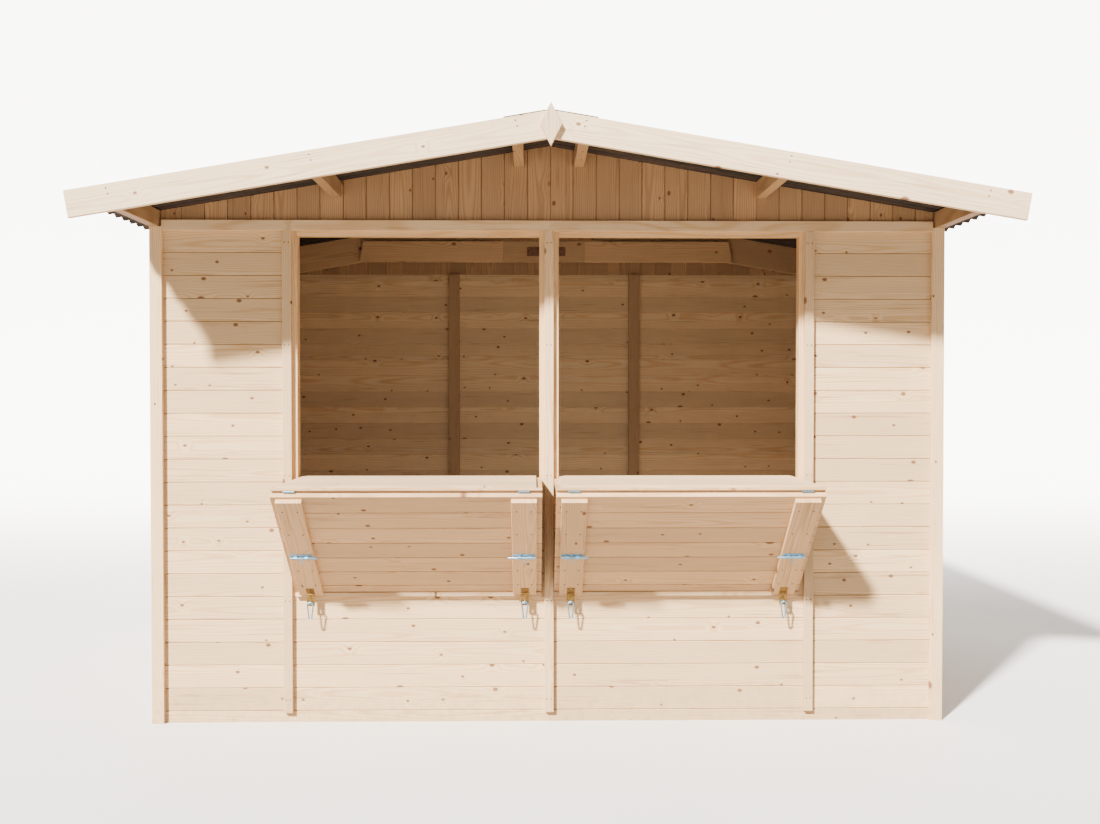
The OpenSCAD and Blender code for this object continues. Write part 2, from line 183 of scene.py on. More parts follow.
class Shape:
    """Gathers closed pieces, then makes them one mesh with grain coordinates for each."""

    def __init__(self, seed: int) -> None:
        """Starts an empty shape whose board tones follow the seed."""
        self.rng = np.random.default_rng(seed)
        self.points: list[np.ndarray] = []
        self.grain: list[np.ndarray] = []
        self.tones: list[np.ndarray] = []
        self.faces: list[list[int]] = []
        self.count = 0
        self.same_board = False
        self.log = (0.0, 0.5)

    def add(self, points: np.ndarray, faces: list[np.ndarray], grain: np.ndarray | None = None) -> None:
        """Adds one closed piece.

        Args:
            points: Its vertices, (n, 3).
            faces: Arrays of corner indices, one row a face, wound so that normals point out.
            grain: Grain coordinates (n, 3): along, across and into the timber.
        """
        n = len(points)
        if not self.same_board:
            self.log = (self.rng.uniform(0, 40), self.rng.uniform(0, 1))
        self.points.append(points)
        self.grain.append((points if grain is None else grain) + np.array([self.log[0], 0, 0]))
        self.tones.append(np.full(n, self.log[1]))
        for group in faces:
            self.faces.extend((group + self.count).tolist())
        self.count += n

    def prism(self, section: np.ndarray, origin: np.ndarray, along: np.ndarray, across: np.ndarray,
              start: float | np.ndarray, end: float | np.ndarray) -> None:
        """Carries a section along a straight line, with ends that may be cut on the slant.

        A point is origin + along * s + across * a + out * o for each (a, o) of the section, and
        out is along turned onto across, so that the section's winding faces outwards.

        Args:
            section: Points (across, out), anticlockwise.
            origin: Where the section's own zero lies at s = 0.
            along: Unit direction of the line.
            across: Unit direction of the section's first axis.
            start: Values of s at the first end, one or one a point.
            end: Values of s at the other end.
        """
        out = np.cross(along, across)
        n = len(section)
        s = np.concatenate([np.broadcast_to(start, n), np.broadcast_to(end, n)])
        two = np.concatenate([section, section])
        points = origin + s[:, None] * along + two[:, :1] * across + two[:, 1:] * out
        self.add(points, [bands(2, n), caps(2, n)], np.column_stack([s, two - section.min(axis=0)]))

    def bar(self, low: np.ndarray, high: np.ndarray, axis: int, ease: float = PLANED) -> None:
        """Adds a planed timber that fills a box, its grain along the given axis (0, 1 or 2)."""
        along, across = np.eye(3)[axis], np.eye(3)[(axis + 1) % 3]
        size = np.asarray(high) - np.asarray(low)
        section = eased(rectangle(size[(axis + 1) % 3], size[(axis + 2) % 3]), ease)
        self.prism(section, np.asarray(low), along, across, 0.0, size[axis])

    def plate(self, outline: np.ndarray, centre: np.ndarray, across: np.ndarray, up: np.ndarray,
              thick: float, ease: float) -> None:
        """Adds a flat plate with eased arrises: four loops of its outline, the outer two drawn in.

        Args:
            outline: Points (across, up), anticlockwise.
            centre: Where the outline's zero lies, on the plate's back.
            across: Unit direction of the outline's first axis.
            up: Unit direction of its second axis. The face looks along across turned onto up.
            thick: Thickness of the plate.
            ease: Length that each arris takes.
        """
        out = np.cross(across, up)
        tight = inset(outline, ease)
        loops = [(tight, 0.0), (outline, ease), (outline, thick - ease), (tight, thick)]
        points = np.concatenate([centre + p[:, :1] * across + p[:, 1:] * up + h * out for p, h in loops])
        grain = np.concatenate([np.column_stack([p[:, 1], p[:, 0], np.full(len(p), h)]) for p, h in loops])
        self.add(points, [bands(4, len(outline)), caps(4, len(outline))], grain)

    def turned(self, outline: np.ndarray, centre: np.ndarray, axis: np.ndarray, sides: int = 10) -> None:
        """Turns an outline round an axis. The outline's first and last points lie on the axis.

        A point is centre + axis * h + r * (cos u * a + sin u * b) for each (r, h) and angle u.

        Args:
            outline: Points (radius, height), from the foot to the top.
            centre: The foot of the axis.
            axis: Unit direction of the axis.
            sides: Number of steps round.
        """
        a = unit(np.cross(axis, X if abs(axis[0]) < 0.9 else Y))
        b = np.cross(axis, a)
        circle = ring_points(sides)
        body = outline[1:-1]
        spokes = circle[:, :1] * a + circle[:, 1:] * b
        rings = (centre + body[:, None, 1:] * axis + body[:, None, :1] * spokes[None]).reshape(-1, 3)
        poles = centre + outline[[0, -1], 1:] * axis
        points = np.concatenate([rings, poles])
        i = np.arange(sides)
        j = (i + 1) % sides
        last = (len(body) - 1) * sides
        foot = np.stack([j, i, np.full(sides, len(rings))], axis=1)
        top = np.stack([last + i, last + j, np.full(sides, len(rings) + 1)], axis=1)
        self.add(points, [bands(len(body), sides), foot, top])

    def wire(self, path: np.ndarray, radius: float, plane: np.ndarray, closed: bool, sides: int = 8) -> None:
        """Carries a circle along a flat path.

        A point is path + r * (cos u * side + sin u * plane), where side is square to the path.

        Args:
            path: Points of the path, (n, 3), all in one plane.
            radius: The wire's radius.
            plane: Unit normal of that plane.
            closed: Whether the last point joins the first.
            sides: Number of steps round the wire.
        """
        if closed:
            tangent = np.roll(path, -1, axis=0) - np.roll(path, 1, axis=0)
        else:
            tangent = np.gradient(path, axis=0)
        side = np.cross(plane, tangent)
        side /= np.linalg.norm(side, axis=1, keepdims=True)
        circle = ring_points(sides) * radius
        points = path[:, None] + circle[None, :, :1] * side[:, None] + circle[None, :, 1:] * plane
        faces = [bands(len(path), sides, closed)] + ([] if closed else [caps(len(path), sides)])
        self.add(points.reshape(-1, 3), faces)

    def shell(self, top: np.ndarray, under: np.ndarray) -> None:
        """Closes the space between two grids of points, (rows, columns, 3), with walls round the rim.

        The top's rows and columns turn anticlockwise seen from outside.
        """
        rows, cols = top.shape[:2]
        n = rows * cols
        index = np.arange(n).reshape(rows, cols)
        cell = cells(rows, cols)
        rim = np.concatenate([index[0, :-1], index[:-1, -1], index[-1, :0:-1], index[:0:-1, 0]])
        after = np.roll(rim, -1)
        walls = np.stack([rim, after, after + n, rim + n], axis=1)
        self.add(np.concatenate([top.reshape(-1, 3), under.reshape(-1, 3)]),
                 [cell, cell[:, ::-1] + n, walls])

    def build(self, name: str) -> bpy.types.Object:
        """Makes the mesh object and its attributes, at the origin."""
        mesh = bpy.data.meshes.new(name)
        mesh.from_pydata(np.concatenate(self.points).tolist(), [], self.faces)
        place = mesh.attributes.new(GRAIN, "FLOAT_VECTOR", "POINT")
        place.data.foreach_set("vector", np.concatenate(self.grain).astype(np.float32).ravel())
        tone = mesh.attributes.new(TONE, "FLOAT", "POINT")
        tone.data.foreach_set("value", np.concatenate(self.tones).astype(np.float32))
        mesh.shade_smooth()
        mesh.set_sharp_from_angle(angle=SMOOTH_ANGLE)
        mesh.validate()
        return add_object(name, mesh)


def nail_heads(shape: Shape, centres: np.ndarray, axis: np.ndarray, radius: float = 2.6 * MM) -> None:
    """Adds a low dome for each nail or screw, half sunk in the timber."""
    outline = np.array([(0, -1.0), (1, -1.0), (1, 0.25), (0.62, 0.5), (0, 0.55)])
    outline = outline * np.array([radius, 1.2 * MM])
    for centre in centres:
        shape.turned(outline, centre, axis, sides=8)


# -------------------------------------------------------------------------------- finishes


class Graph:
    """Short calls for the nodes of one tree."""

    def __init__(self, tree: bpy.types.NodeTree) -> None:
        """Works on an existing tree."""
        self.tree = tree

    def add(self, kind: str, **settings: object) -> bpy.types.Node:
        """Adds a node and sets its properties."""
        node = self.tree.nodes.new(kind)
        for key, value in settings.items():
            setattr(node, key, value)
        return node

    def feed(self, socket: bpy.types.NodeSocket, value: object) -> None:
        """Links an output to a socket, or sets the socket's value."""
        if isinstance(value, bpy.types.NodeSocket):
            self.tree.links.new(value, socket)
        else:
            socket.default_value = value

    def math(self, operation: str, *values: object, clamp: bool = False) -> bpy.types.NodeSocket:
        """A Math node's result."""
        node = self.add("ShaderNodeMath", operation=operation, use_clamp=clamp)
        for socket, value in zip(node.inputs, values):
            self.feed(socket, value)
        return node.outputs[0]

    def vector(self, operation: str, *values: object) -> bpy.types.NodeSocket:
        """A Vector Math node's result: its number for a length, its vector otherwise."""
        node = self.add("ShaderNodeVectorMath", operation=operation)
        for socket, value in zip(node.inputs, values):
            self.feed(socket, value)
        return node.outputs["Value" if operation == "LENGTH" else "Vector"]

    def noise(self, place: object, scale: float, detail: float = 2,
              rough: float = 0.5) -> bpy.types.NodeSocket:
        """A Noise Texture's value from 0 to 1."""
        node = self.add("ShaderNodeTexNoise")
        self.feed(node.inputs["Vector"], place)
        for key, value in (("Scale", scale), ("Detail", detail), ("Roughness", rough)):
            node.inputs[key].default_value = value
        return node.outputs["Fac"]

    def step(self, value: object, low: float, high: float,
             to: tuple[float, float] = (0, 1)) -> bpy.types.NodeSocket:
        """A smooth step of a value between two limits."""
        node = self.add("ShaderNodeMapRange", interpolation_type="SMOOTHSTEP")
        for key, given in (("Value", value), ("From Min", low), ("From Max", high), ("To Min", to[0]),
                           ("To Max", to[1])):
            self.feed(node.inputs[key], given)
        return node.outputs["Result"]

    def mix(self, amount: object, first: object, second: object, blend: str = "MIX") -> bpy.types.NodeSocket:
        """A colour mix."""
        node = self.add("ShaderNodeMix", data_type="RGBA", blend_type=blend)
        for key, value in ((0, amount), (6, first), (7, second)):
            self.feed(node.inputs[key], value)
        return node.outputs[2]

    def split(self, value: object) -> bpy.types.NodeOutputs:
        """The x, y and z of a vector."""
        node = self.add("ShaderNodeSeparateXYZ")
        self.feed(node.inputs[0], value)
        return node.outputs

    def bump(self, shader: bpy.types.Node, height: object, strength: float, distance: float) -> None:
        """Feeds a height to a shader's normal through a Bump node."""
        node = self.add("ShaderNodeBump")
        node.inputs["Strength"].default_value = strength
        node.inputs["Distance"].default_value = distance
        self.feed(node.inputs["Height"], height)
        self.feed(shader.inputs["Normal"], node.outputs[0])


def new_group(name: str, inputs: dict[str, str],
              outputs: tuple[str, ...]) -> tuple[Graph, bpy.types.Node, bpy.types.Node]:
    """Starts a shader node group.

    Args:
        name: The group's name.
        inputs: Socket names with "Vector" or "Float".
        outputs: Names of its number outputs.

    Returns:
        The group's graph, its input node and its output node.
    """
    tree = bpy.data.node_groups.new(name, "ShaderNodeTree")
    for socket, kind in inputs.items():
        tree.interface.new_socket(socket, in_out="INPUT", socket_type=f"NodeSocket{kind}")
    for socket in outputs:
        tree.interface.new_socket(socket, in_out="OUTPUT", socket_type="NodeSocketFloat")
    graph = Graph(tree)
    return graph, graph.add("NodeGroupInput"), graph.add("NodeGroupOutput")


def timber_group() -> bpy.types.NodeTree:
    """Growth rings, fibres and knots of a sawn softwood board.

    The board is cut from a log whose heart lies behind its face. The distance from that heart,
    bent by slow noise along the board and pushed aside round each knot, runs through a sine to
    give rings, so straight grain and long arches both appear. Fibres are noise drawn out along
    the board. Knots are small discs round scattered points.
    """
    g, given, out = new_group(
        "timber_grain", {"Place": "Vector", "Tone": "Float", "Ring Width": "Float", "Knots": "Float"},
        ("Rings", "Fibre", "Knot", "Drift", "Streak"))
    place, tone = given.outputs["Place"], given.outputs["Tone"]
    parts = g.split(place)
    spread = g.vector("MULTIPLY", place, (6.0, 8.5, 0.0))
    cells = g.add("ShaderNodeTexVoronoi", voronoi_dimensions="2D", feature="F1")
    g.feed(cells.inputs["Vector"], spread)
    cells.inputs["Scale"].default_value = 1.0
    pick = g.add("ShaderNodeSeparateColor")
    g.feed(pick.inputs[0], cells.outputs["Color"])
    chosen = g.math("LESS_THAN", pick.outputs[0], given.outputs["Knots"])
    size = g.math("MULTIPLY_ADD", g.math("POWER", pick.outputs[1], 2.0), 0.06, 0.04)
    ragged = g.math("MULTIPLY", g.noise(place, 160, 2), 0.012)
    distance = g.math("ADD", cells.outputs["Distance"], ragged)
    reach = g.math("DIVIDE", distance, size)
    knot = g.math("MULTIPLY", g.step(reach, 1.25, 0.7), chosen)
    halo = g.math("MULTIPLY", g.step(reach, 5.0, 0.6), chosen)
    slow = g.noise(g.vector("MULTIPLY", place, (0.9, 5.0, 5.0)), 1.0, 2)
    drift = g.noise(g.vector("MULTIPLY", place, (1.6, 14.0, 14.0)), 1.0, 3)
    heart_y = g.math("MULTIPLY_ADD", tone, 0.13, -0.03)
    dy = g.math("SUBTRACT", parts[1], heart_y)
    dz = g.math("MULTIPLY_ADD", tone, 0.04, 0.022)
    far = g.math("SQRT", g.math("ADD", g.math("MULTIPLY", dy, dy), g.math("MULTIPLY", dz, dz)))
    far = g.math("MULTIPLY_ADD", slow, 0.05, far)
    far = g.math("MULTIPLY_ADD", halo, 0.006, far)
    turns = g.math("DIVIDE", g.math("MULTIPLY_ADD", drift, 0.004, far), given.outputs["Ring Width"])
    wave = g.math("SINE", g.math("MULTIPLY", turns, 2 * math.pi))
    rings = g.math("POWER", g.math("MULTIPLY_ADD", wave, 0.5, 0.5), 2.2)
    fibre = g.noise(g.vector("MULTIPLY", place, (9.0, 420.0, 420.0)), 1.0, 3, 0.6)
    fine = g.noise(g.vector("MULTIPLY", place, (3.2, 190.0, 190.0)), 1.0, 2)
    patch = g.noise(g.vector("MULTIPLY", place, (2.5, 20.0, 20.0)), 1.0, 2)
    streak = g.math("MULTIPLY", g.step(fine, 0.56, 0.7), g.step(patch, 0.46, 0.6))
    for name, value in (("Rings", rings), ("Fibre", fibre), ("Knot", knot), ("Drift", drift),
                        ("Streak", streak)):
        g.feed(out.inputs[name], value)
    return g.tree


def handling_group() -> bpy.types.NodeTree:
    """Marks of use: broad smudges, and dust that gathers low on the walls.

    Smudges are two noises multiplied. Dust falls off with height above the ground.
    """
    g, given, out = new_group("handling_marks", {"Place": "Vector"}, ("Smudge", "Dust"))
    place = given.outputs["Place"]
    smudge = g.math("MULTIPLY", g.noise(place, 2.3, 3), g.noise(place, 11.0, 4, 0.6))
    low = g.step(g.split(place)[2], 0.22, 0.0)
    dust = g.math("MULTIPLY", low, g.step(g.noise(place, 26.0, 4, 0.65), 0.35, 0.75))
    g.feed(out.inputs["Smudge"], g.step(smudge, 0.18, 0.42))
    g.feed(out.inputs["Dust"], dust)
    return g.tree


def plating_group() -> bpy.types.NodeTree:
    """Clouding and fine scratches of plated steel: a slow noise, and a noise drawn out one way."""
    g, given, out = new_group("plating_wear", {"Place": "Vector"}, ("Cloud", "Scratch"))
    place = given.outputs["Place"]
    g.feed(out.inputs["Cloud"], g.step(g.noise(place, 90.0, 3), 0.3, 0.7))
    g.feed(out.inputs["Scratch"], g.noise(g.vector("MULTIPLY", place, (60.0, 900.0, 900.0)), 1.0, 2))
    return g.tree


class Groups:
    """The shared node groups, made once."""

    def __init__(self) -> None:
        """Builds every group."""
        self.timber = timber_group()
        self.handling = handling_group()
        self.plating = plating_group()


def place_group(graph: Graph, group: bpy.types.NodeTree, **inputs: object) -> bpy.types.Node:
    """Places a shared group in a tree and feeds its inputs, named with spaces as underscores."""
    node = graph.add("ShaderNodeGroup", node_tree=group)
    for key, value in inputs.items():
        graph.feed(node.inputs[key.replace("_", " ")], value)
    return node


def start_material(name: str) -> tuple[bpy.types.Material, Graph, bpy.types.Node]:
    """A new material with its graph and its Principled shader."""
    material = bpy.data.materials.new(name)
    material.use_nodes = True
    return material, Graph(material.node_tree), material.node_tree.nodes["Principled BSDF"]


def colour(red: float, green: float, blue: float) -> tuple[float, float, float, float]:
    """A display colour from 0 to 255 as the linear colour that shaders use."""
    share = np.array([red, green, blue]) / 255
    linear = np.where(share <= 0.04045, share / 12.92, ((share + 0.055) / 1.055) ** 2.4)
    return (*linear.tolist(), 1.0)


@dataclass(frozen=True)
class Timber:
    """Planed or sawn softwood: pale early wood, warmer late wood, fibres and knots."""

    name: str
    early: tuple[float, float, float]
    late: tuple[float, float, float]
    ring_width: float = 5.2 * MM
    contrast: float = 0.62
    knots: float = 0.55
    roughness: float = 0.62
    spread: float = 0.13

    def make(self, groups: Groups) -> bpy.types.Material:
        """Builds the material."""
        material, g, shader = start_material(self.name)
        place = g.add("ShaderNodeAttribute", attribute_name=GRAIN).outputs["Vector"]
        tone = g.add("ShaderNodeAttribute", attribute_name=TONE).outputs["Fac"]
        own = g.add("ShaderNodeTexCoord").outputs["Object"]
        grain = place_group(g, groups.timber, Place=place, Tone=tone, Ring_Width=self.ring_width,
                            Knots=self.knots)
        marks = place_group(g, groups.handling, Place=own)
        amount = g.math("MULTIPLY", grain.outputs["Rings"], self.contrast)
        base = g.mix(amount, colour(*self.early), colour(*self.late))
        base = g.mix(g.step(grain.outputs["Fibre"], 0.35, 0.75, (0.0, 0.28)), base, colour(*self.late))
        shade = g.math("MULTIPLY_ADD", tone, 2 * self.spread, 1 - self.spread)
        shade = g.math("MULTIPLY", shade, g.step(grain.outputs["Drift"], 0.25, 0.75, (0.95, 1.03)))
        grey = g.add("ShaderNodeCombineColor")
        for socket in grey.inputs[:3]:
            g.feed(socket, shade)
        base = g.mix(1.0, base, grey.outputs[0], "MULTIPLY")
        for mask, share, shown in ((grain.outputs["Streak"], 0.5, (142, 92, 50)),
                                   (grain.outputs["Knot"], 0.85, (104, 58, 28)),
                                   (marks.outputs["Smudge"], 0.06, (150, 118, 86)),
                                   (marks.outputs["Dust"], 0.35, (150, 130, 108))):
            base = g.mix(g.math("MULTIPLY", mask, share), base, colour(*shown))
        g.feed(shader.inputs["Base Color"], base)
        rough = g.math("MULTIPLY_ADD", grain.outputs["Fibre"], 0.16, self.roughness - 0.08)
        g.feed(shader.inputs["Roughness"], rough)
        shader.inputs["Specular IOR Level"].default_value = 0.35
        height = g.math("MULTIPLY_ADD", grain.outputs["Rings"], 0.5, grain.outputs["Fibre"])
        g.bump(shader, height, 0.35, 0.5 * MM)
        return material


@dataclass(frozen=True)
class Plating:
    """Plated or coated steel with clouding and fine scratches."""

    name: str
    bright: tuple[float, float, float]
    dull: tuple[float, float, float]
    metallic: float = 1.0
    roughness: float = 0.34

    def make(self, groups: Groups) -> bpy.types.Material:
        """Builds the material."""
        material, g, shader = start_material(self.name)
        own = g.add("ShaderNodeTexCoord").outputs["Object"]
        wear = place_group(g, groups.plating, Place=own)
        base = g.mix(wear.outputs["Cloud"], colour(*self.bright), colour(*self.dull))
        g.feed(shader.inputs["Base Color"], base)
        shader.inputs["Metallic"].default_value = self.metallic
        rough = g.math("MULTIPLY_ADD", wear.outputs["Cloud"], 0.14, self.roughness)
        g.feed(shader.inputs["Roughness"], rough)
        g.bump(shader, wear.outputs["Scratch"], 0.12, 0.2 * MM)
        return material


@dataclass(frozen=True)
class Bitumen:
    """Dark corrugated sheet of pressed fibre and bitumen, with streaks down the slope."""

    name: str
    ground: tuple[float, float, float]
    streak: tuple[float, float, float]

    def make(self, groups: Groups) -> bpy.types.Material:
        """Builds the material."""
        material, g, shader = start_material(self.name)
        own = g.add("ShaderNodeTexCoord").outputs["Object"]
        marks = place_group(g, groups.handling, Place=own)
        run = g.noise(g.vector("MULTIPLY", own, (1.4, 42.0, 1.4)), 1.0, 4, 0.6)
        base = g.mix(g.step(run, 0.4, 0.72), colour(*self.ground), colour(*self.streak))
        base = g.mix(g.math("MULTIPLY", marks.outputs["Smudge"], 0.3), base, colour(*self.ground))
        g.feed(shader.inputs["Base Color"], base)
        grit = g.noise(own, 420.0, 3, 0.7)
        g.feed(shader.inputs["Roughness"], g.math("MULTIPLY_ADD", grit, 0.25, 0.62))
        g.bump(shader, grit, 0.5, 0.6 * MM)
        return material


class Finish(Enum):
    """Every finish of the stall, by the record's slot that it dresses."""

    WALL = ("wall_boards", Timber("wall_spruce", (228, 196, 152), (204, 158, 104)))
    # The gable's colours are darkened: painted shade for the shadow under the roof overhang.
    GABLE = ("gable_boards", Timber("gable_spruce_painted_shade", (188, 148, 106), (152, 112, 74), spread=0.14))
    TRIM = ("trim_boards", Timber("trim_spruce", (228, 196, 154), (204, 160, 108), knots=0.35))
    BARGE = ("barge_boards", Timber("barge_spruce", (234, 208, 172), (214, 178, 132), knots=0.4))
    # The frame timbers' colours are darkened: painted shade for the shadow inside the stall and under the
    # roof.
    FRAME = ("frame_timber", Timber("frame_spruce_painted_shade", (176, 142, 104), (146, 112, 76), roughness=0.72))
    WINDOW = ("window_timber", Timber("window_spruce", (226, 190, 142), (202, 154, 100), knots=0.3))
    SHUTTER = ("shutter_boards", Timber("shutter_spruce", (216, 178, 134), (192, 148, 102)))
    COUNTER = ("counter_top", Timber("counter_spruce", (230, 200, 160), (210, 170, 122), knots=0.3))
    ROOF = ("roof_covering", Bitumen("roof_bitumen", (34, 27, 23), (70, 54, 44)))
    PLATE = ("plate_steel", Plating("truss_plate_steel", (112, 74, 50), (78, 50, 34), 0.2, 0.5))
    ZINC = ("zinc_steel", Plating("blue_zinc", (150, 190, 214), (110, 150, 178), 0.8, 0.3))
    YELLOW = ("yellow_zinc", Plating("yellow_zinc", (158, 122, 62), (112, 82, 40), 0.75, 0.36))

    @property
    def slot(self) -> str:
        """The record's material slot."""
        return self.value[0]


class Dresser:
    """Gives pieces their finish and body, and hides the frame nodes that they stand for."""

    def __init__(self) -> None:
        """Makes the shared groups and every material."""
        self.groups = Groups()
        self.materials = {finish: finish.value[1].make(self.groups) for finish in Finish}
        self.nails = Shape(5)

    def dress(self, piece: bpy.types.Object, finish: Finish, *nodes: str) -> bpy.types.Object:
        """Finishes a piece.

        Args:
            piece: The new object.
            finish: Its finish.
            nodes: The frame nodes that it stands for.

        Returns:
            The same object.
        """
        piece.data.materials.append(self.materials[finish])
        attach(piece, "root")
        if nodes:
            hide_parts(*nodes)
        LOG.info("%s: %d faces", piece.name, len(piece.data.polygons))
        return piece


# -------------------------------------------------------------------------------- the stall


@dataclass(frozen=True)
class Plan:
    """Lines and levels that the sub-assemblies share, in metres, read from the frame."""

    front: float
    head_top: float
    sill: float
    roof_x: float
    roof_y: float
    ridge: float
    slope: float = math.radians(9.55)
    board: float = 18 * MM
    stud: float = 27 * MM
    sheet: float = 18 * MM
    purlin: tuple[float, float] = (38 * MM, 60 * MM)
    cover: float = 88 * MM
    purlin_lines: tuple[float, ...] = (0.115, 0.815, 1.50)

    @classmethod
    def read(cls) -> "Plan":
        """Takes the lines from the boxes of the frame's nodes."""
        low, high = span("front_wall_left")
        roof = span("right_roof_sheet")[1]
        return cls(front=low[1], head_top=high[2], sill=span("front_wall_under_left_window")[1][2],
                   roof_x=roof[0], roof_y=roof[1], ridge=roof[2] - cls.sheet / math.cos(cls.slope))

    def roof_under(self, x: np.ndarray | float) -> np.ndarray | float:
        """Height of the roof sheets' underside at x."""
        return self.ridge - np.abs(x) * math.tan(self.slope)


@dataclass
class Assembly:
    """What every sub-assembly needs: the plan and the dresser."""

    plan: Plan
    dresser: Dresser


def fill_box(shape: Shape, nodes: list[str], axis: int, ease: float = PLANED) -> None:
    """Adds a planed timber in the box of each node."""
    for node in nodes:
        shape.bar(*span(node), axis, ease)


def uprights(shape: Shape, node: str, axis: int, width: float, middle: bool = False) -> None:
    """Adds an upright timber at either end of a node's box, and one halfway if asked.

    Args:
        shape: Shape to add to.
        node: The node whose box they stand in.
        axis: The axis along which they stand apart.
        width: Their width along that axis.
        middle: Whether a third stands between the two.
    """
    low, high = span(node)
    last = high[axis] - width
    for place in (low[axis], (low[axis] + last) / 2, last) if middle else (low[axis], last):
        start, end = low.copy(), high.copy()
        start[axis], end[axis] = place, place + width
        shape.bar(start, end, 2)


@dataclass(frozen=True)
class Cladding:
    """Matched boards laid level over a wall."""

    cover: float = 88 * MM
    first: float = 44 * MM
    least: float = 20 * MM

    def lay(self, shape: Shape, low: np.ndarray, high: np.ndarray, out: np.ndarray) -> None:
        """Fills a box with level boards whose faces look along out."""
        along = np.cross(Z, out)
        joints = np.arange(self.first, high[2] - self.least, self.cover)
        levels = np.concatenate([[low[2]], joints[joints > low[2] + self.least], [high[2]]])
        size = high - low
        length, thick = abs(along @ size), abs(out @ size)
        origin = np.where(along + out > 0, low, high) * (1, 1, 0)
        for base, top in zip(levels[:-1], levels[1:]):
            section = vee_board(top - base, thick, first=base > low[2], last=top < high[2])
            shape.prism(section, origin + Z * base, along, Z, 0.0, length)


@dataclass
class Walls(Assembly):
    """The boarded walls and the studs behind them."""

    boards: Cladding = Cladding()
    stud: float = 60 * MM

    def build(self) -> None:
        """Builds the four walls and their studs."""
        fronts = ["front_wall_left", "front_wall_right", "front_wall_under_left_window",
                  "front_wall_under_right_window"]
        self.panel("front_cladding", 11, fronts, -Y)
        self.panel("left_cladding", 12, ["left_side_wall"], -X)
        self.panel("right_cladding", 13, ["right_side_wall"], X)
        self.panel("back_cladding", 14, ["back_wall"], Y)
        shape = Shape(15)
        for node in ("left_wall_studs", "right_wall_studs"):
            uprights(shape, node, 1, self.stud, middle=True)
        uprights(shape, "back_wall_studs", 0, self.stud)
        self.dresser.dress(shape.build("wall_studs"), Finish.FRAME, "left_wall_studs", "right_wall_studs",
                           "back_wall_studs")

    def panel(self, name: str, seed: int, nodes: list[str], out: np.ndarray) -> None:
        """Clads the boxes of some nodes and dresses the result.

        Args:
            name: Name of the new piece.
            seed: Seed of its board tones.
            nodes: The nodes it stands for.
            out: Direction its faces look.
        """
        shape = Shape(seed)
        for node in nodes:
            self.boards.lay(shape, *span(node), out)
        self.dresser.dress(shape.build(name), Finish.WALL, *nodes)


@dataclass
class Gables(Assembly):
    """Upright matched boards in both gables, cut to the roof and round the purlins."""

    gap: float = 0.5 * MM
    first: float = 5 * MM
    purlins: tuple[float, ...] = (-815 * MM, -115 * MM, 115 * MM, 815 * MM)

    def build(self) -> None:
        """Builds both gables."""
        for name, out in (("front_gable", -Y), ("back_gable", Y)):
            self.gable(name, out)

    def gable(self, node: str, out: np.ndarray) -> None:
        """Builds one gable whose boards look along out."""
        plan = self.plan
        low, high = span(node)
        half, across = plan.purlin[0] / 2 + self.gap, np.cross(out, Z)
        joints = self.first + plan.cover * np.arange(-17, 17)
        edges = np.concatenate([[low[0]], joints[(joints > low[0]) & (joints < high[0])], [high[0]]])
        cuts = np.array([x + side for x in self.purlins for side in (-half, half)] + [0.0])
        shape = Shape(21)
        for left, right in zip(edges[:-1], edges[1:]):
            inner = np.sort(cuts[(cuts > left) & (cuts < right)])
            stops = np.concatenate([[left], inner, [right]])
            shape.same_board = False
            for x0, x1 in zip(stops[:-1], stops[1:]):
                middle = (x0 + x1) / 2
                notch = [x for x in self.purlins if abs(x - middle) < half]
                first, last = (x0 == left, x1 == right) if across[0] > 0 else (x1 == right, x0 == left)
                section = vee_board(x1 - x0, plan.board, first, last)
                start = x0 if across[0] > 0 else x1
                x = start + across[0] * section[:, 0]
                top = plan.roof_under(x) - self.gap
                if notch:
                    top = np.full(len(x), plan.roof_under(notch[0]) - plan.purlin[1] - self.gap)
                origin = np.array([start, high[1] if out[1] < 0 else low[1], 0.0])
                shape.prism(section, origin, Z, across, low[2], top)
                shape.same_board = True
        self.dresser.dress(shape.build(f"{node}_boards"), Finish.GABLE, node)


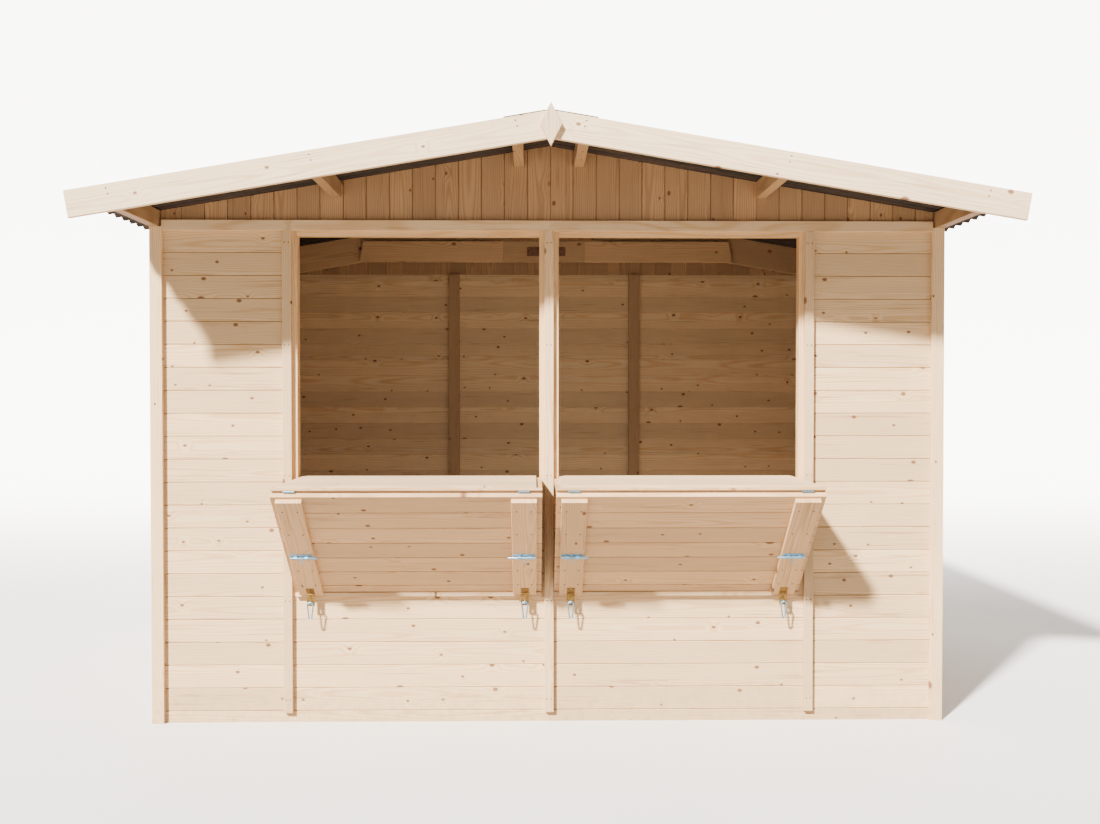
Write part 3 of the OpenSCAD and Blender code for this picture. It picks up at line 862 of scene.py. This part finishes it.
@dataclass
class Trim(Assembly):
    """Cover strips, head boards, corner boards and the ledges under the shutters, with their nails."""

    thick: float = 18 * MM
    back_strip: float = 35 * MM
    front_lines: tuple[float, ...] = (-1.0, 0.0, 1.0)
    back_lines: tuple[float, ...] = (-0.5, 0.5)
    nail_levels: tuple[float, ...] = (1.84, 1.45, 0.95, 0.47, 0.09)
    nail_side: float = 8 * MM

    def build(self) -> None:
        """Builds the trim of all four sides."""
        strips = ["front_cover_strip_left", "front_cover_strip_middle", "front_cover_strip_right"]
        shape = Shape(31)
        fill_box(shape, strips, 2)
        uprights(shape, "side_cover_strips", 0, self.thick)
        uprights(shape, "back_cover_strips", 0, self.back_strip)
        self.nail_up(self.dresser.nails)
        self.dresser.dress(shape.build("cover_strips"), Finish.TRIM, *strips, "side_cover_strips",
                           "back_cover_strips")
        level = ["front_head_board_left", "front_head_board_right", "back_head_board", "left_ledge",
                 "right_ledge"]
        shape = Shape(32)
        fill_box(shape, level, 0)
        self.dresser.dress(shape.build("head_boards_and_ledges"), Finish.TRIM, *level)
        shape = Shape(34)
        corners = [f"{end}_{side.word}_corner_board" for end in ("front", "back") for side in Side]
        for node in corners:
            self.corner_pair(shape, *span(node))
        self.dresser.dress(shape.build("corner_boards"), Finish.TRIM, *corners)

    def corner_pair(self, shape: Shape, low: np.ndarray, high: np.ndarray) -> None:
        """Adds the two boards of one corner: the one on the front or back laps the one on the side."""
        thick = self.thick
        front, right = low[1] < 0, low[0] > 0
        y0, y1 = (low[1], low[1] + thick) if front else (high[1] - thick, high[1])
        shape.bar((low[0], y0, low[2]), (high[0], y1, high[2]), 2)
        x0, x1 = (high[0] - thick, high[0]) if right else (low[0], low[0] + thick)
        rest = (y1, high[1]) if front else (low[1], y0)
        shape.bar((x0, rest[0], low[2]), (x1, rest[1], high[2]), 2)

    def nail_up(self, shape: Shape) -> None:
        """Adds pairs of nails to the strips of the front and back."""
        face = self.plan.front - self.thick
        for out, lines in ((-1, self.front_lines), (1, self.back_lines)):
            for x in lines:
                spots = np.array([(x + dx, face * -out, z) for z in self.nail_levels
                                  for dx in (-self.nail_side, self.nail_side)])
                nail_heads(shape, spots, Y * out)


@dataclass
class WindowFrames(Assembly):
    """Posts, head and sill rails round both openings."""

    post: float = 37 * MM
    rail: float = 60 * MM
    head: float = 58 * MM

    def build(self) -> None:
        """Builds both frames."""
        plan = self.plan
        inner = plan.front + plan.board + plan.stud
        behind = plan.front + plan.board
        for side in Side:
            node = f"{side.word}_window_frame"
            low, high = span(node)
            shape = Shape(41 + side.value)
            for x in (low[0], high[0] - self.post):
                shape.bar((x, plan.front, plan.sill), (x + self.post, inner, plan.head_top), 2)
                shape.bar((x, behind, 0), (x + self.post, inner, plan.sill), 2)
            x0, x1 = low[0] + self.post, high[0] - self.post
            shape.bar((x0, plan.front, plan.head_top - self.head), (x1, inner, plan.head_top), 0)
            shape.bar((x0, behind, plan.sill - self.rail), (x1, inner, plan.sill), 0)
            self.dresser.dress(shape.build(f"{side.word}_window_timbers"), Finish.WINDOW, node)


def sloped_board(shape: Shape, plan: Plan, side: Side, out: np.ndarray, width: float, thick: float,
                 back: float, low_at_ridge: float, end_x: float, square: bool) -> None:
    """Adds a board that lies along the roof slope, cut upright at the ridge.

    The board runs downhill along s. Across it, a grows square to the slope. Its ridge cut is at
    s = -a * tan(slope), and its foot is cut square to the slope or upright.

    Args:
        shape: Shape to add to.
        plan: The stall's plan.
        side: Which slope it lies on.
        out: The way its face looks, along Y or against it.
        width: Width of the board.
        thick: Thickness of the board.
        back: y of its back.
        low_at_ridge: Height of its lower edge at the ridge.
        end_x: How far its foot reaches from the middle.
        square: Whether the foot is cut square to the board.
    """
    sx, sn, cs = side.value, math.sin(plan.slope), math.cos(plan.slope)
    across = np.array([sx * sn, 0, cs])
    downhill = np.array([sx * cs, 0, -sn])
    section = eased(rectangle(width, thick), PLANED)
    ridge = -section[:, 0] * math.tan(plan.slope)
    reach = np.full(len(section), width) if square else section[:, 0]
    foot = (end_x - reach * sn) / cs
    origin = np.array([0.0, back, low_at_ridge])
    if sx * out[1] < 0:
        shape.prism(section, origin, downhill, across, ridge, foot)
    else:
        shape.prism(section, origin, -downhill, across, -foot, -ridge)


@dataclass
class RoofTimbers(Assembly):
    """Purlins, the truss at mid depth, and its steel plate."""

    rafter: tuple[float, float] = (120 * MM, 27 * MM)
    joints: tuple[float, float] = (-0.20, 0.18)
    saw_cut: float = 0.3 * MM
    plate_corner: float = 4 * MM
    plate_screw: float = 3.2 * MM

    def build(self) -> None:
        """Builds purlins, rafters, tie and plate."""
        plan = self.plan
        shape = Shape(51)
        purlins = [f"{side.word}_{row}_purlin" for row in ("eave", "middle", "ridge") for side in Side]
        for node in purlins:
            low, high = span(node)
            x = (low[0] + high[0]) / 2 + np.array([-0.5, 0.5]) * plan.purlin[0]
            base = plan.roof_under(x.mean()) - plan.purlin[1]
            outline = np.array([(x[0], base), (x[1], base), (x[1], plan.roof_under(x[1])),
                                (x[0], plan.roof_under(x[0]))])
            shape.prism(eased(outline, 1.5 * MM), Y * high[1], -Y, X, 0.0, high[1] - low[1])
        self.dresser.dress(shape.build("roof_purlins"), Finish.FRAME, *purlins)
        shape = Shape(52)
        tan, cs = math.tan(plan.slope), math.cos(plan.slope)
        under = plan.ridge - plan.purlin[1] - tan * plan.purlin[0] / 2
        width, thick = self.rafter
        for side in Side:
            sloped_board(shape, plan, side, -Y, width, thick, thick / 2, under - width / cs,
                         span("right_rafter")[1][0], False)
        low, high = span("truss_tie")
        section = eased(rectangle(high[2] - low[2], high[1] - low[1]), PLANED)
        lean = section[:, 0] * tan
        stops = [low[0] + lean, *self.joints, high[0] - lean]
        origin = np.array([0.0, high[1], low[2]])
        for start, end in zip(stops[:-1], stops[1:]):
            shape.prism(section, origin, X, Z, start + self.saw_cut, end - self.saw_cut)
        self.dresser.dress(shape.build("truss_timbers"), Finish.FRAME, "left_rafter", "right_rafter",
                           "truss_tie")
        self.plate()

    def plate(self) -> None:
        """Builds the steel plate at the middle of the tie and its screws."""
        low, high = span("truss_plate")
        half = (high - low) / 2
        outline = eased(rectangle(2 * half[0], 2 * half[2]) - half[[0, 2]], self.plate_corner)
        shape = Shape(53)
        centre = np.array([0.0, high[1], (low[2] + high[2]) / 2])
        shape.plate(outline, centre, X, Z, high[1] - low[1], 0.4 * MM)
        u, w = np.meshgrid(np.linspace(-0.8, 0.8, 6) * half[0], np.array([-0.5, 0.5]) * half[2])
        spots = np.stack([u.ravel(), np.full(u.size, low[1]), centre[2] + w.ravel()], axis=1)
        nail_heads(shape, spots, -Y, self.plate_screw)
        self.dresser.dress(shape.build("tie_plate"), Finish.PLATE, "truss_plate")


@dataclass
class Roofing(Assembly):
    """Corrugated sheets and the folded ridge cap."""

    pitch: float = 76 * MM
    thick: float = 3 * MM
    steps: int = 10
    rows: int = 6
    lift: float = 3 * MM
    crests: int = 37
    crests_apart: int = 3
    fold: float = 6 * MM

    def build(self) -> None:
        """Builds both sheets with their nails, and the cap."""
        for side in Side:
            self.sheet(side)
        self.cap()

    def wave(self, y: np.ndarray) -> np.ndarray:
        """Height of the sheet's underside over the purlins at y: a sine that starts at a trough."""
        lift = (self.plan.sheet - self.thick) / 2
        return lift * (1 - np.cos(2 * math.pi * (y + self.plan.roof_y) / self.pitch))

    def sheet(self, side: Side) -> None:
        """Builds one slope: a grid whose height is the roof line plus the sine across the slope."""
        plan = self.plan
        y = np.linspace(-plan.roof_y, plan.roof_y, round(2 * plan.roof_y / self.pitch * self.steps) + 1)
        x = np.linspace(0, plan.roof_x, self.rows)[::-side.value] * side.value
        gx, gy = np.meshgrid(x, y, indexing="ij")
        cs = math.cos(plan.slope)
        under = np.stack([gx, gy, plan.roof_under(gx) + self.wave(gy) / cs], axis=2)
        top = under + Z * self.thick / cs
        shape = Shape(61)
        shape.shell(top[::-1], under[::-1])
        crests = -plan.roof_y + self.pitch * (np.arange(1, self.crests, self.crests_apart) + 0.5)
        for line in plan.purlin_lines:
            spots = np.stack([np.full(len(crests), side.value * line), crests,
                              plan.roof_under(line) + np.full(len(crests), plan.sheet / cs)], axis=1)
            outline = np.array([(0, -2.0), (7, -2.0), (7, 0.6), (4, 2.4), (0, 3.0)]) * MM
            for spot in spots:
                shape.turned(outline, spot, unit(np.array([side.value * math.tan(plan.slope), 0, 1])), 8)
        self.dresser.dress(shape.build(f"{side.word}_corrugated_sheet"), Finish.ROOF,
                           f"{side.word}_roof_sheet")

    def cap(self) -> None:
        """Builds the ridge cap: two flat legs, a rounded fold, and a hem rolled under each edge."""
        low, high = span("ridge_cap")
        leg, thick = high[0], self.thick / math.cos(self.plan.slope)
        tan = math.tan(self.plan.slope)
        x = np.concatenate([[leg, leg - 2 * MM, leg - 14 * MM], np.array([40, 20, 10, 0]) * MM])
        x = np.concatenate([x, -x[-2::-1]])
        over = high[2] - (np.sqrt(x ** 2 + self.fold ** 2) - self.fold) * tan
        over[[0, -1]] = np.minimum(over[[0, -1]], high[2] - leg * tan)
        over += self.lift
        outer = np.stack([x, over], axis=1)
        inner = np.stack([x[::-1], over[::-1] - thick], axis=1)
        inner[[0, -1], 1] -= 1 * MM
        shape = Shape(64)
        shape.prism(np.concatenate([outer, inner]), Y * high[1], -Y, X, 0.0, high[1] - low[1])
        self.dresser.dress(shape.build("folded_ridge_cap"), Finish.ROOF, "ridge_cap")


@dataclass
class Barges(Assembly):
    """The barge boards of both gables and the diamonds over their peaks."""

    width: float = 94 * MM
    thick: float = 18 * MM
    rise: float = 17 * MM
    screw: float = 3 * MM
    diamond_screws: tuple[float, float] = (-22 * MM, 19 * MM)

    def build(self) -> None:
        """Builds the four boards and both diamonds."""
        plan = self.plan
        shape = Shape(71)
        cs, tan = math.cos(plan.slope), math.tan(plan.slope)
        low = plan.ridge + self.rise - self.width / cs
        for out in (-Y, Y):
            for side in Side:
                sloped_board(shape, plan, side, out, self.width, self.thick, out[1] * plan.roof_y, low,
                             plan.roof_x, True)
                for x in plan.purlin_lines:
                    spots = np.array([(side.value * (x + dx), out[1] * (plan.roof_y + self.thick),
                                       low + (self.width / cs) * share - x * tan)
                                      for share, dx in ((0.62, 0.0), (0.82, 0.006))])
                    nail_heads(self.dresser.nails, spots, out, self.screw)
        boards = [f"{end}_barge_board_{side.word}" for end in ("front", "back") for side in Side]
        self.dresser.dress(shape.build("barge_boards"), Finish.BARGE, *boards)
        low, high = span("gable_diamonds")
        half = np.array([high[0], (high[2] - low[2]) / 2])
        outline = np.array([(-1, 0), (0, -1), (1, 0), (0, 1)]) * half
        shape = Shape(72)
        for out in (-Y, Y):
            centre = np.array([0.0, out[1] * (plan.roof_y + self.thick), high[2] - half[1]])
            shape.plate(outline, centre, np.cross(Z, out), Z, self.thick, 1.5 * MM)
            face = self.thick - 0.7 * MM
            spots = centre + np.array([(x, out[1] * face, 4 * MM) for x in self.diamond_screws])
            nail_heads(self.dresser.nails, spots, out, self.screw)
        self.dresser.dress(shape.build("peak_diamonds"), Finish.BARGE, "gable_diamonds")


@dataclass(frozen=True)
class LeafSizes:
    """Sizes of one folding shutter, in metres, worked in the frame."""

    width: float = 940 * MM
    thick: float = 18 * MM
    lip: float = 12 * MM
    lip_thick: float = 9 * MM
    length: float = 574 * MM
    batten: float = 90 * MM
    batten_side: float = 18 * MM
    batten_head: float = 11 * MM
    batten_foot: float = 6 * MM
    bolt_at: float = 320 * MM
    wall_gap: float = 1 * MM
    lap: float = 9 * MM
    least: float = 30 * MM
    screw_rows: tuple[float, ...] = (60 * MM, 190 * MM, 410 * MM, 500 * MM)
    screw_side: float = 26 * MM
    hinge: float = 42 * MM
    hinge_groove: float = 0.6 * MM


@dataclass(frozen=True)
class BoltSizes:
    """Sizes of a slide bolt: its plate, rod, straps and screws."""

    sheet: float = 2 * MM
    radius: float = 4 * MM
    length: float = 80 * MM
    depth: float = 26 * MM
    strap_at: float = 20 * MM
    strap: float = 12 * MM
    strap_foot: float = 11 * MM
    play: float = 0.1 * MM
    screws: tuple[float, float] = (34 * MM, 8 * MM)
    screw: float = 2.8 * MM


@dataclass(frozen=True)
class HaspSizes:
    """Sizes of a hasp: its screwed plate, the strap that hangs from it, the staple and the hook."""

    sheet: float = 2 * MM
    half: float = 15 * MM
    length: float = 34 * MM
    drop: float = 44 * MM
    slot: float = 3.2 * MM
    slot_below: float = 4 * MM
    slot_above: float = 11 * MM
    staple: float = 2.2 * MM
    staple_bow: float = 4.5 * MM
    hook: float = 3.0 * MM
    screw_side: float = 8 * MM
    screw_rows: tuple[float, float] = (-9 * MM, 6 * MM)


@dataclass
class Shutter(Assembly):
    """One folding shutter: level leaf, counter board, brace leaf and their hardware."""

    side: Side
    sizes: LeafSizes = LeafSizes()
    bolt: BoltSizes = BoltSizes()
    hasp: HaspSizes = HaspSizes()

    def __post_init__(self) -> None:
        """Finds the shutter's middle and the lie of its brace leaf from the frame."""
        s, plan = self.sizes, self.plan
        self.leaf = span(f"{self.side.word}_counter_leaf")
        low, high = self.leaf
        self.x = (low[0] + high[0]) / 2
        hinge_y = low[1] + s.lap
        angle = math.acos((plan.front - s.wall_gap - hinge_y) / s.length)
        self.down = np.array([0.0, math.cos(angle), -math.sin(angle)])
        self.out = np.array([0.0, -math.sin(angle), -math.cos(angle)])
        self.hinge = np.array([self.x, hinge_y, plan.sill - s.thick])
        self.batten_x = s.width / 2 - s.batten_side - s.batten / 2
        self.batten_end = s.length - s.batten_foot

    def on_brace(self, across: float, down: float, out: float) -> np.ndarray:
        """A point by its place across the brace leaf, down it, and outwards from its inner face."""
        return self.hinge + X * across + self.down * down + self.out * out

    def build(self) -> None:
        """Builds the whole shutter."""
        self.leaves()
        self.hinges()
        self.bolts()
        self.hasps()

    def leaves(self) -> None:
        """Builds the boards of both leaves, the battens and the counter board."""
        s, plan, word = self.sizes, self.plan, self.side.word
        low, high = self.leaf
        shape = Shape(81 + self.side.value)
        stops = np.append(np.arange(high[1], low[1] + s.lip + s.least, -plan.cover), low[1] + s.lip)
        for back, front in zip(stops[:-1], stops[1:]):
            section = vee_board(back - front, s.thick, first=back < high[1], last=front > low[1] + s.lip)
            shape.prism(section, np.array([low[0], back, high[2]]), X, -Y, 0.0, s.width)
        shape.bar((low[0], low[1], high[2] - s.lip_thick), (high[0], low[1] + s.lip, high[2]), 0, 0.8 * MM)
        self.dresser.dress(shape.build(f"{word}_level_leaf"), Finish.SHUTTER, f"{word}_counter_leaf")
        shape = Shape(84 + self.side.value)
        node = f"{word}_counter_board"
        low, high = span(node)
        lines = np.linspace(low[1], high[1], 4)
        for y0, y1 in zip(lines[:-1], lines[1:]):
            shape.bar((low[0], y0, low[2]), (high[0], y1, high[2]), 0, 0.6 * MM)
        self.dresser.dress(shape.build(f"{word}_counter_top"), Finish.COUNTER, node)
        shape = Shape(87 + self.side.value)
        stops = np.append(np.arange(0, s.length - s.least, plan.cover), s.length)
        for top, foot in zip(stops[:-1], stops[1:]):
            section = vee_board(foot - top, s.thick, first=top > 0, last=foot < s.length)
            shape.prism(section, self.on_brace(s.width / 2, top, 0.0), -X, self.down, 0.0, s.width)
        section = eased(rectangle(s.batten, s.thick), 1.5 * MM)
        for mid in (-self.batten_x, self.batten_x):
            shape.prism(section, self.on_brace(mid - s.batten / 2, 0.0, s.thick), self.down, X,
                        s.batten_head, self.batten_end)
            spots = np.array([self.on_brace(mid + dx, at, 2 * s.thick) for at in s.screw_rows
                              for dx in (-s.screw_side, s.screw_side)])
            nail_heads(self.dresser.nails, spots, self.out, 3.2 * MM)
        self.dresser.dress(shape.build(f"{word}_brace_boards"), Finish.SHUTTER, f"{word}_brace_leaf")

    def hinges(self) -> None:
        """Builds the two hinge knuckles: barrels parted by grooves, with a rounded pin at each end."""
        s, node = self.sizes, f"{self.side.word}_shutter_hinges"
        low, high = span(node)
        radius, length = (high[2] - low[2]) / 2, s.hinge
        parts = np.linspace(0, length, 6)
        grooves = [(r, h) for at in parts[1:-1] for r, h in
                   ((radius, at - s.hinge_groove), (radius * 0.72, at), (radius, at + s.hinge_groove))]
        outline = np.array([(0, 0), (radius * 0.7, 0), (radius, 1 * MM), *grooves,
                            (radius, length - 1 * MM), (radius * 0.7, length), (0, length)])
        shape = Shape(91)
        middle = (low + high) / 2
        for mid in (-self.batten_x, self.batten_x):
            centre = np.array([self.x + mid - length / 2, middle[1], middle[2]])
            shape.turned(outline, centre, X, 14)
        self.dresser.dress(shape.build(f"{self.side.word}_hinge_knuckles"), Finish.ZINC, node)

    def bolts(self) -> None:
        """Builds both slide bolts: plate, two arched straps, rod with a turned handle, and screws."""
        s, bolt = self.sizes, self.bolt
        shape = Shape(92)
        size = np.array([bolt.length, bolt.depth])
        outline = eased(rectangle(*size) - size / 2, 3 * MM)
        for inward in (1, -1):
            middle = -inward * self.batten_x
            centre = self.on_brace(middle, s.bolt_at, 2 * s.thick)
            shape.plate(outline, centre, -X, self.down, bolt.sheet, 0.4 * MM)
            axis_out = 2 * bolt.sheet + bolt.radius
            rod = np.array([(0, -40), (3.2, -40), (4, -39), (4, 58), (3.2, 60), (0, 60)]) * MM
            shape.turned(rod, centre + self.out * axis_out, X * inward, 12)
            for at in (-bolt.strap_at, bolt.strap_at):
                self.strap(shape, centre + X * inward * at, axis_out)
            stem = np.array([(0, 0), (2.6, 0), (2.6, 15), (3.4, 17), (3.4, 21), (2.4, 23), (0, 23)]) * MM
            foot = centre + self.out * axis_out
            shape.turned(stem, foot + X * inward * 2 * MM, unit(self.down + 0.35 * self.out), 10)
            spots = np.array([centre + X * u + self.down * w + self.out * bolt.sheet
                              for u in (-bolt.screws[0], bolt.screws[0])
                              for w in (-bolt.screws[1], bolt.screws[1])])
            nail_heads(shape, spots, self.out, bolt.screw)
        self.dresser.dress(shape.build(f"{self.side.word}_bolts"), Finish.ZINC,
                           f"{self.side.word}_slide_bolts")

    def strap(self, shape: Shape, centre: np.ndarray, axis_out: float) -> None:
        """Adds one strap over a bolt: a half ring on two short legs and feet."""
        bolt = self.bolt
        sheet, foot = bolt.sheet, bolt.strap_foot
        angle = np.linspace(0, math.pi, 9)
        inner, outer = bolt.radius + bolt.play, bolt.radius + sheet - bolt.play
        arch = np.stack([np.cos(angle), np.sin(angle)], axis=1)
        outside = np.concatenate([[(foot, sheet), (foot, 2 * sheet), (outer, 2 * sheet)],
                                  arch * outer + (0, axis_out),
                                  [(-outer, 2 * sheet), (-foot, 2 * sheet), (-foot, sheet)]])
        inside = np.concatenate([[(-inner, sheet)], arch[::-1] * inner + (0, axis_out), [(inner, sheet)]])
        section = np.concatenate([outside, inside])
        shape.prism(section, centre + X * bolt.strap / 2, -X, self.down, 0.0, bolt.strap)

    def hasps(self) -> None:
        """Builds both hasps: screwed plate, knuckle, slotted strap, staple and snap hook."""
        hasp, shape, hooks = self.hasp, Shape(93), Shape(94)
        sheet, half, length, thick = hasp.sheet, hasp.half, hasp.length, 2 * self.sizes.thick
        knuckle_at = self.batten_end - 6 * sheet
        for mid in (-self.batten_x, self.batten_x):
            outline = eased(rectangle(2 * half, length) - np.array([half, length / 2]), 2 * MM)
            centre = self.on_brace(mid, knuckle_at - length / 2, thick)
            shape.plate(outline, centre, -X, self.down, sheet, 0.4 * MM)
            spots = np.array([centre + X * u + self.down * w + self.out * sheet
                              for u in (-hasp.screw_side, hasp.screw_side) for w in hasp.screw_rows])
            nail_heads(shape, spots, self.out)
            pin = self.on_brace(mid, knuckle_at, thick + 1.6 * sheet)
            turned = np.array([(0, 0), (2.4, 0), (3, 0.6), (3, 9.6), (2.2, 10), (3, 10.4), (3, 19.6),
                               (2.2, 20), (3, 20.4), (3, 29.4), (2.4, 30), (0, 30)]) * MM
            shape.turned(turned, pin - X * half, X, 12)
            self.hanging(shape, hooks, pin)
        self.dresser.dress(shape.build(f"{self.side.word}_hasp_sets"), Finish.YELLOW,
                           f"{self.side.word}_hasps")
        self.dresser.dress(hooks.build(f"{self.side.word}_snap_hooks"), Finish.ZINC)

    def hanging(self, shape: Shape, hooks: Shape, pin: np.ndarray) -> None:
        """Adds the strap that hangs from a hasp's knuckle, its staple and the snap hook in it.

        The strap is two cheeks and two bridges round its slot.
        """
        hasp = self.hasp
        sheet, half, slot = hasp.sheet, hasp.half, hasp.slot
        hole = pin[2] - hasp.drop + 5 * MM + 2 * sheet
        foot, head = hole - hasp.slot_below, hole + hasp.slot_above
        face = np.array([pin[0], pin[1] + sheet / 2, 0.0])
        for u0, u1, z0, z1 in ((-half, half, head, pin[2]), (-half, half, pin[2] - hasp.drop, foot),
                               (-half, -slot, foot, head), (slot, half, foot, head)):
            shape.bar(face + (u0, -sheet, z0), face + (u1, 0, z1), 2, 0.3 * MM)
        turn = np.linspace(0, math.pi, 9)
        bow = np.stack([np.zeros(9), -9 * MM - np.sin(turn) * hasp.staple_bow,
                        np.cos(turn) * hasp.staple_bow + 3 * MM], axis=1)
        legs = np.array([(0, bow[0, 1] + 8 * MM, bow[0, 2]), (0, bow[-1, 1] + 8 * MM, bow[-1, 2])])
        path = np.concatenate([legs[:1], bow, legs[1:]]) + (pin[0], pin[1], hole)
        hooks.wire(path, hasp.staple, X, False)
        turns = np.arange(28) * 2 * math.pi / 28
        high = np.sin(turns) >= 0
        bend = np.where(high, 11.0, 5.5)
        oval = np.stack([np.cos(turns) * bend, np.zeros(28), np.sin(turns) * bend + np.where(high, 20, -26)],
                        axis=1)
        ring = oval * MM + (pin[0], pin[1] - 11 * MM, hole - 25 * MM)
        hooks.wire(ring, hasp.hook, -Y, True)


# ---------------------------------------------------------------------------------- studio


@dataclass(frozen=True)
class Studio:
    """Pale floor and backdrop, one soft key light, pale surroundings, and the camera."""

    eye: tuple[float, float, float] = (-0.061, -5.142, 1.263)
    turn: float = math.radians(0.885)
    tilt: float = math.radians(0.956)
    lens: float = 35.63
    sun: tuple[float, float, float] = (0.458, 0.615, -0.642)
    sun_power: float = 19.0
    sky: float = 0.45
    fill_power: float = 5.0

    def build(self) -> None:
        """Builds the studio."""
        self.floor()
        scene = bpy.context.scene
        lamp = bpy.data.lights.new("key_light", "SUN")
        lamp.energy, lamp.angle, lamp.color = self.sun_power, math.radians(4), (1.0, 0.96, 0.9)
        key = add_object("key_light", lamp)
        key.rotation_euler = Vector(self.sun).to_track_quat("-Z", "Y").to_euler()
        self.fill()
        world = bpy.data.worlds.new("pale_surroundings")
        world.use_nodes = True
        ground = world.node_tree.nodes["Background"]
        ground.inputs["Color"].default_value = (1.0, 0.95, 0.9, 1.0)
        ground.inputs["Strength"].default_value = self.sky
        scene.world = world
        data = bpy.data.cameras.new("front_camera")
        data.lens, data.sensor_width = self.lens, 36.0
        camera = add_object("front_camera", data)
        camera.location = self.eye
        camera.rotation_euler = Euler((math.pi / 2 - self.tilt, 0, -self.turn))
        scene.camera = camera
        scene.render.resolution_x, scene.render.resolution_y = 1100, 824

    def fill(self) -> None:
        """Adds a weak wide lamp inside the stall, aimed at the foot of the back wall."""
        lamp = bpy.data.lights.new("inner_fill", "AREA")
        lamp.shape, lamp.size, lamp.size_y = "RECTANGLE", 2.4, 0.4
        lamp.energy, lamp.color = self.fill_power, (1.0, 0.95, 0.9)
        inner = add_object("inner_fill", lamp)
        inner.location = (0.0, -0.75, 0.75)
        inner.rotation_euler = Vector((0.0, 1.0, -0.12)).to_track_quat("-Z", "Y").to_euler()

    def floor(self) -> None:
        """Builds a floor that bends up into a backdrop: a profile carried across, level, arc, upright."""
        turn = np.linspace(0, math.pi / 2, 17)
        arc = np.stack([9.0 + 4 * np.sin(turn), 4 * (1 - np.cos(turn))], axis=1)
        profile = np.concatenate([[(-14.0, 0.0)], arc, [(13.0, 12.0)]])
        x = np.linspace(-18, 18, 9)
        grid = np.stack(np.broadcast_arrays(x[None], profile[:, :1], profile[:, 1:]), axis=2)
        faces = cells(*grid.shape[:2])[:, ::-1]
        mesh = bpy.data.meshes.new("studio_floor")
        mesh.from_pydata(grid.reshape(-1, 3).tolist(), [], faces.tolist())
        mesh.shade_smooth()
        floor = add_object("studio_floor", mesh)
        material, g, shader = start_material("studio_paper")
        own = g.add("ShaderNodeTexCoord").outputs["Object"]
        seen = g.mix(g.noise(own, 1.7, 3), colour(222, 220, 217), colour(230, 228, 225))
        ray = g.add("ShaderNodeLightPath").outputs["Is Camera Ray"]
        base = g.mix(ray, colour(162, 156, 148), seen)
        g.feed(shader.inputs["Base Color"], base)
        shader.inputs["Roughness"].default_value = 0.9
        shader.inputs["Specular IOR Level"].default_value = 0.1
        shader.inputs["Emission Color"].default_value = (1.0, 0.99, 0.98, 1.0)
        g.feed(shader.inputs["Emission Strength"], g.step(g.split(own)[1], 1.0, 9.0, (0.0, 5.0)))
        mesh.materials.append(material)


def main() -> None:
    """Builds the stall piece by piece, then the studio."""
    logging.basicConfig(level=logging.INFO, format="%(message)s")
    plan = Plan.read()
    dresser = Dresser()
    for assembly in (Walls, Gables, Trim, WindowFrames, RoofTimbers, Roofing, Barges):
        assembly(plan, dresser).build()
    for side in Side:
        Shutter(plan, dresser, side).build()
    dresser.dress(dresser.nails.build("nails_and_screws"), Finish.PLATE)
    Studio().build()


if __name__ == "__main__":
    main()
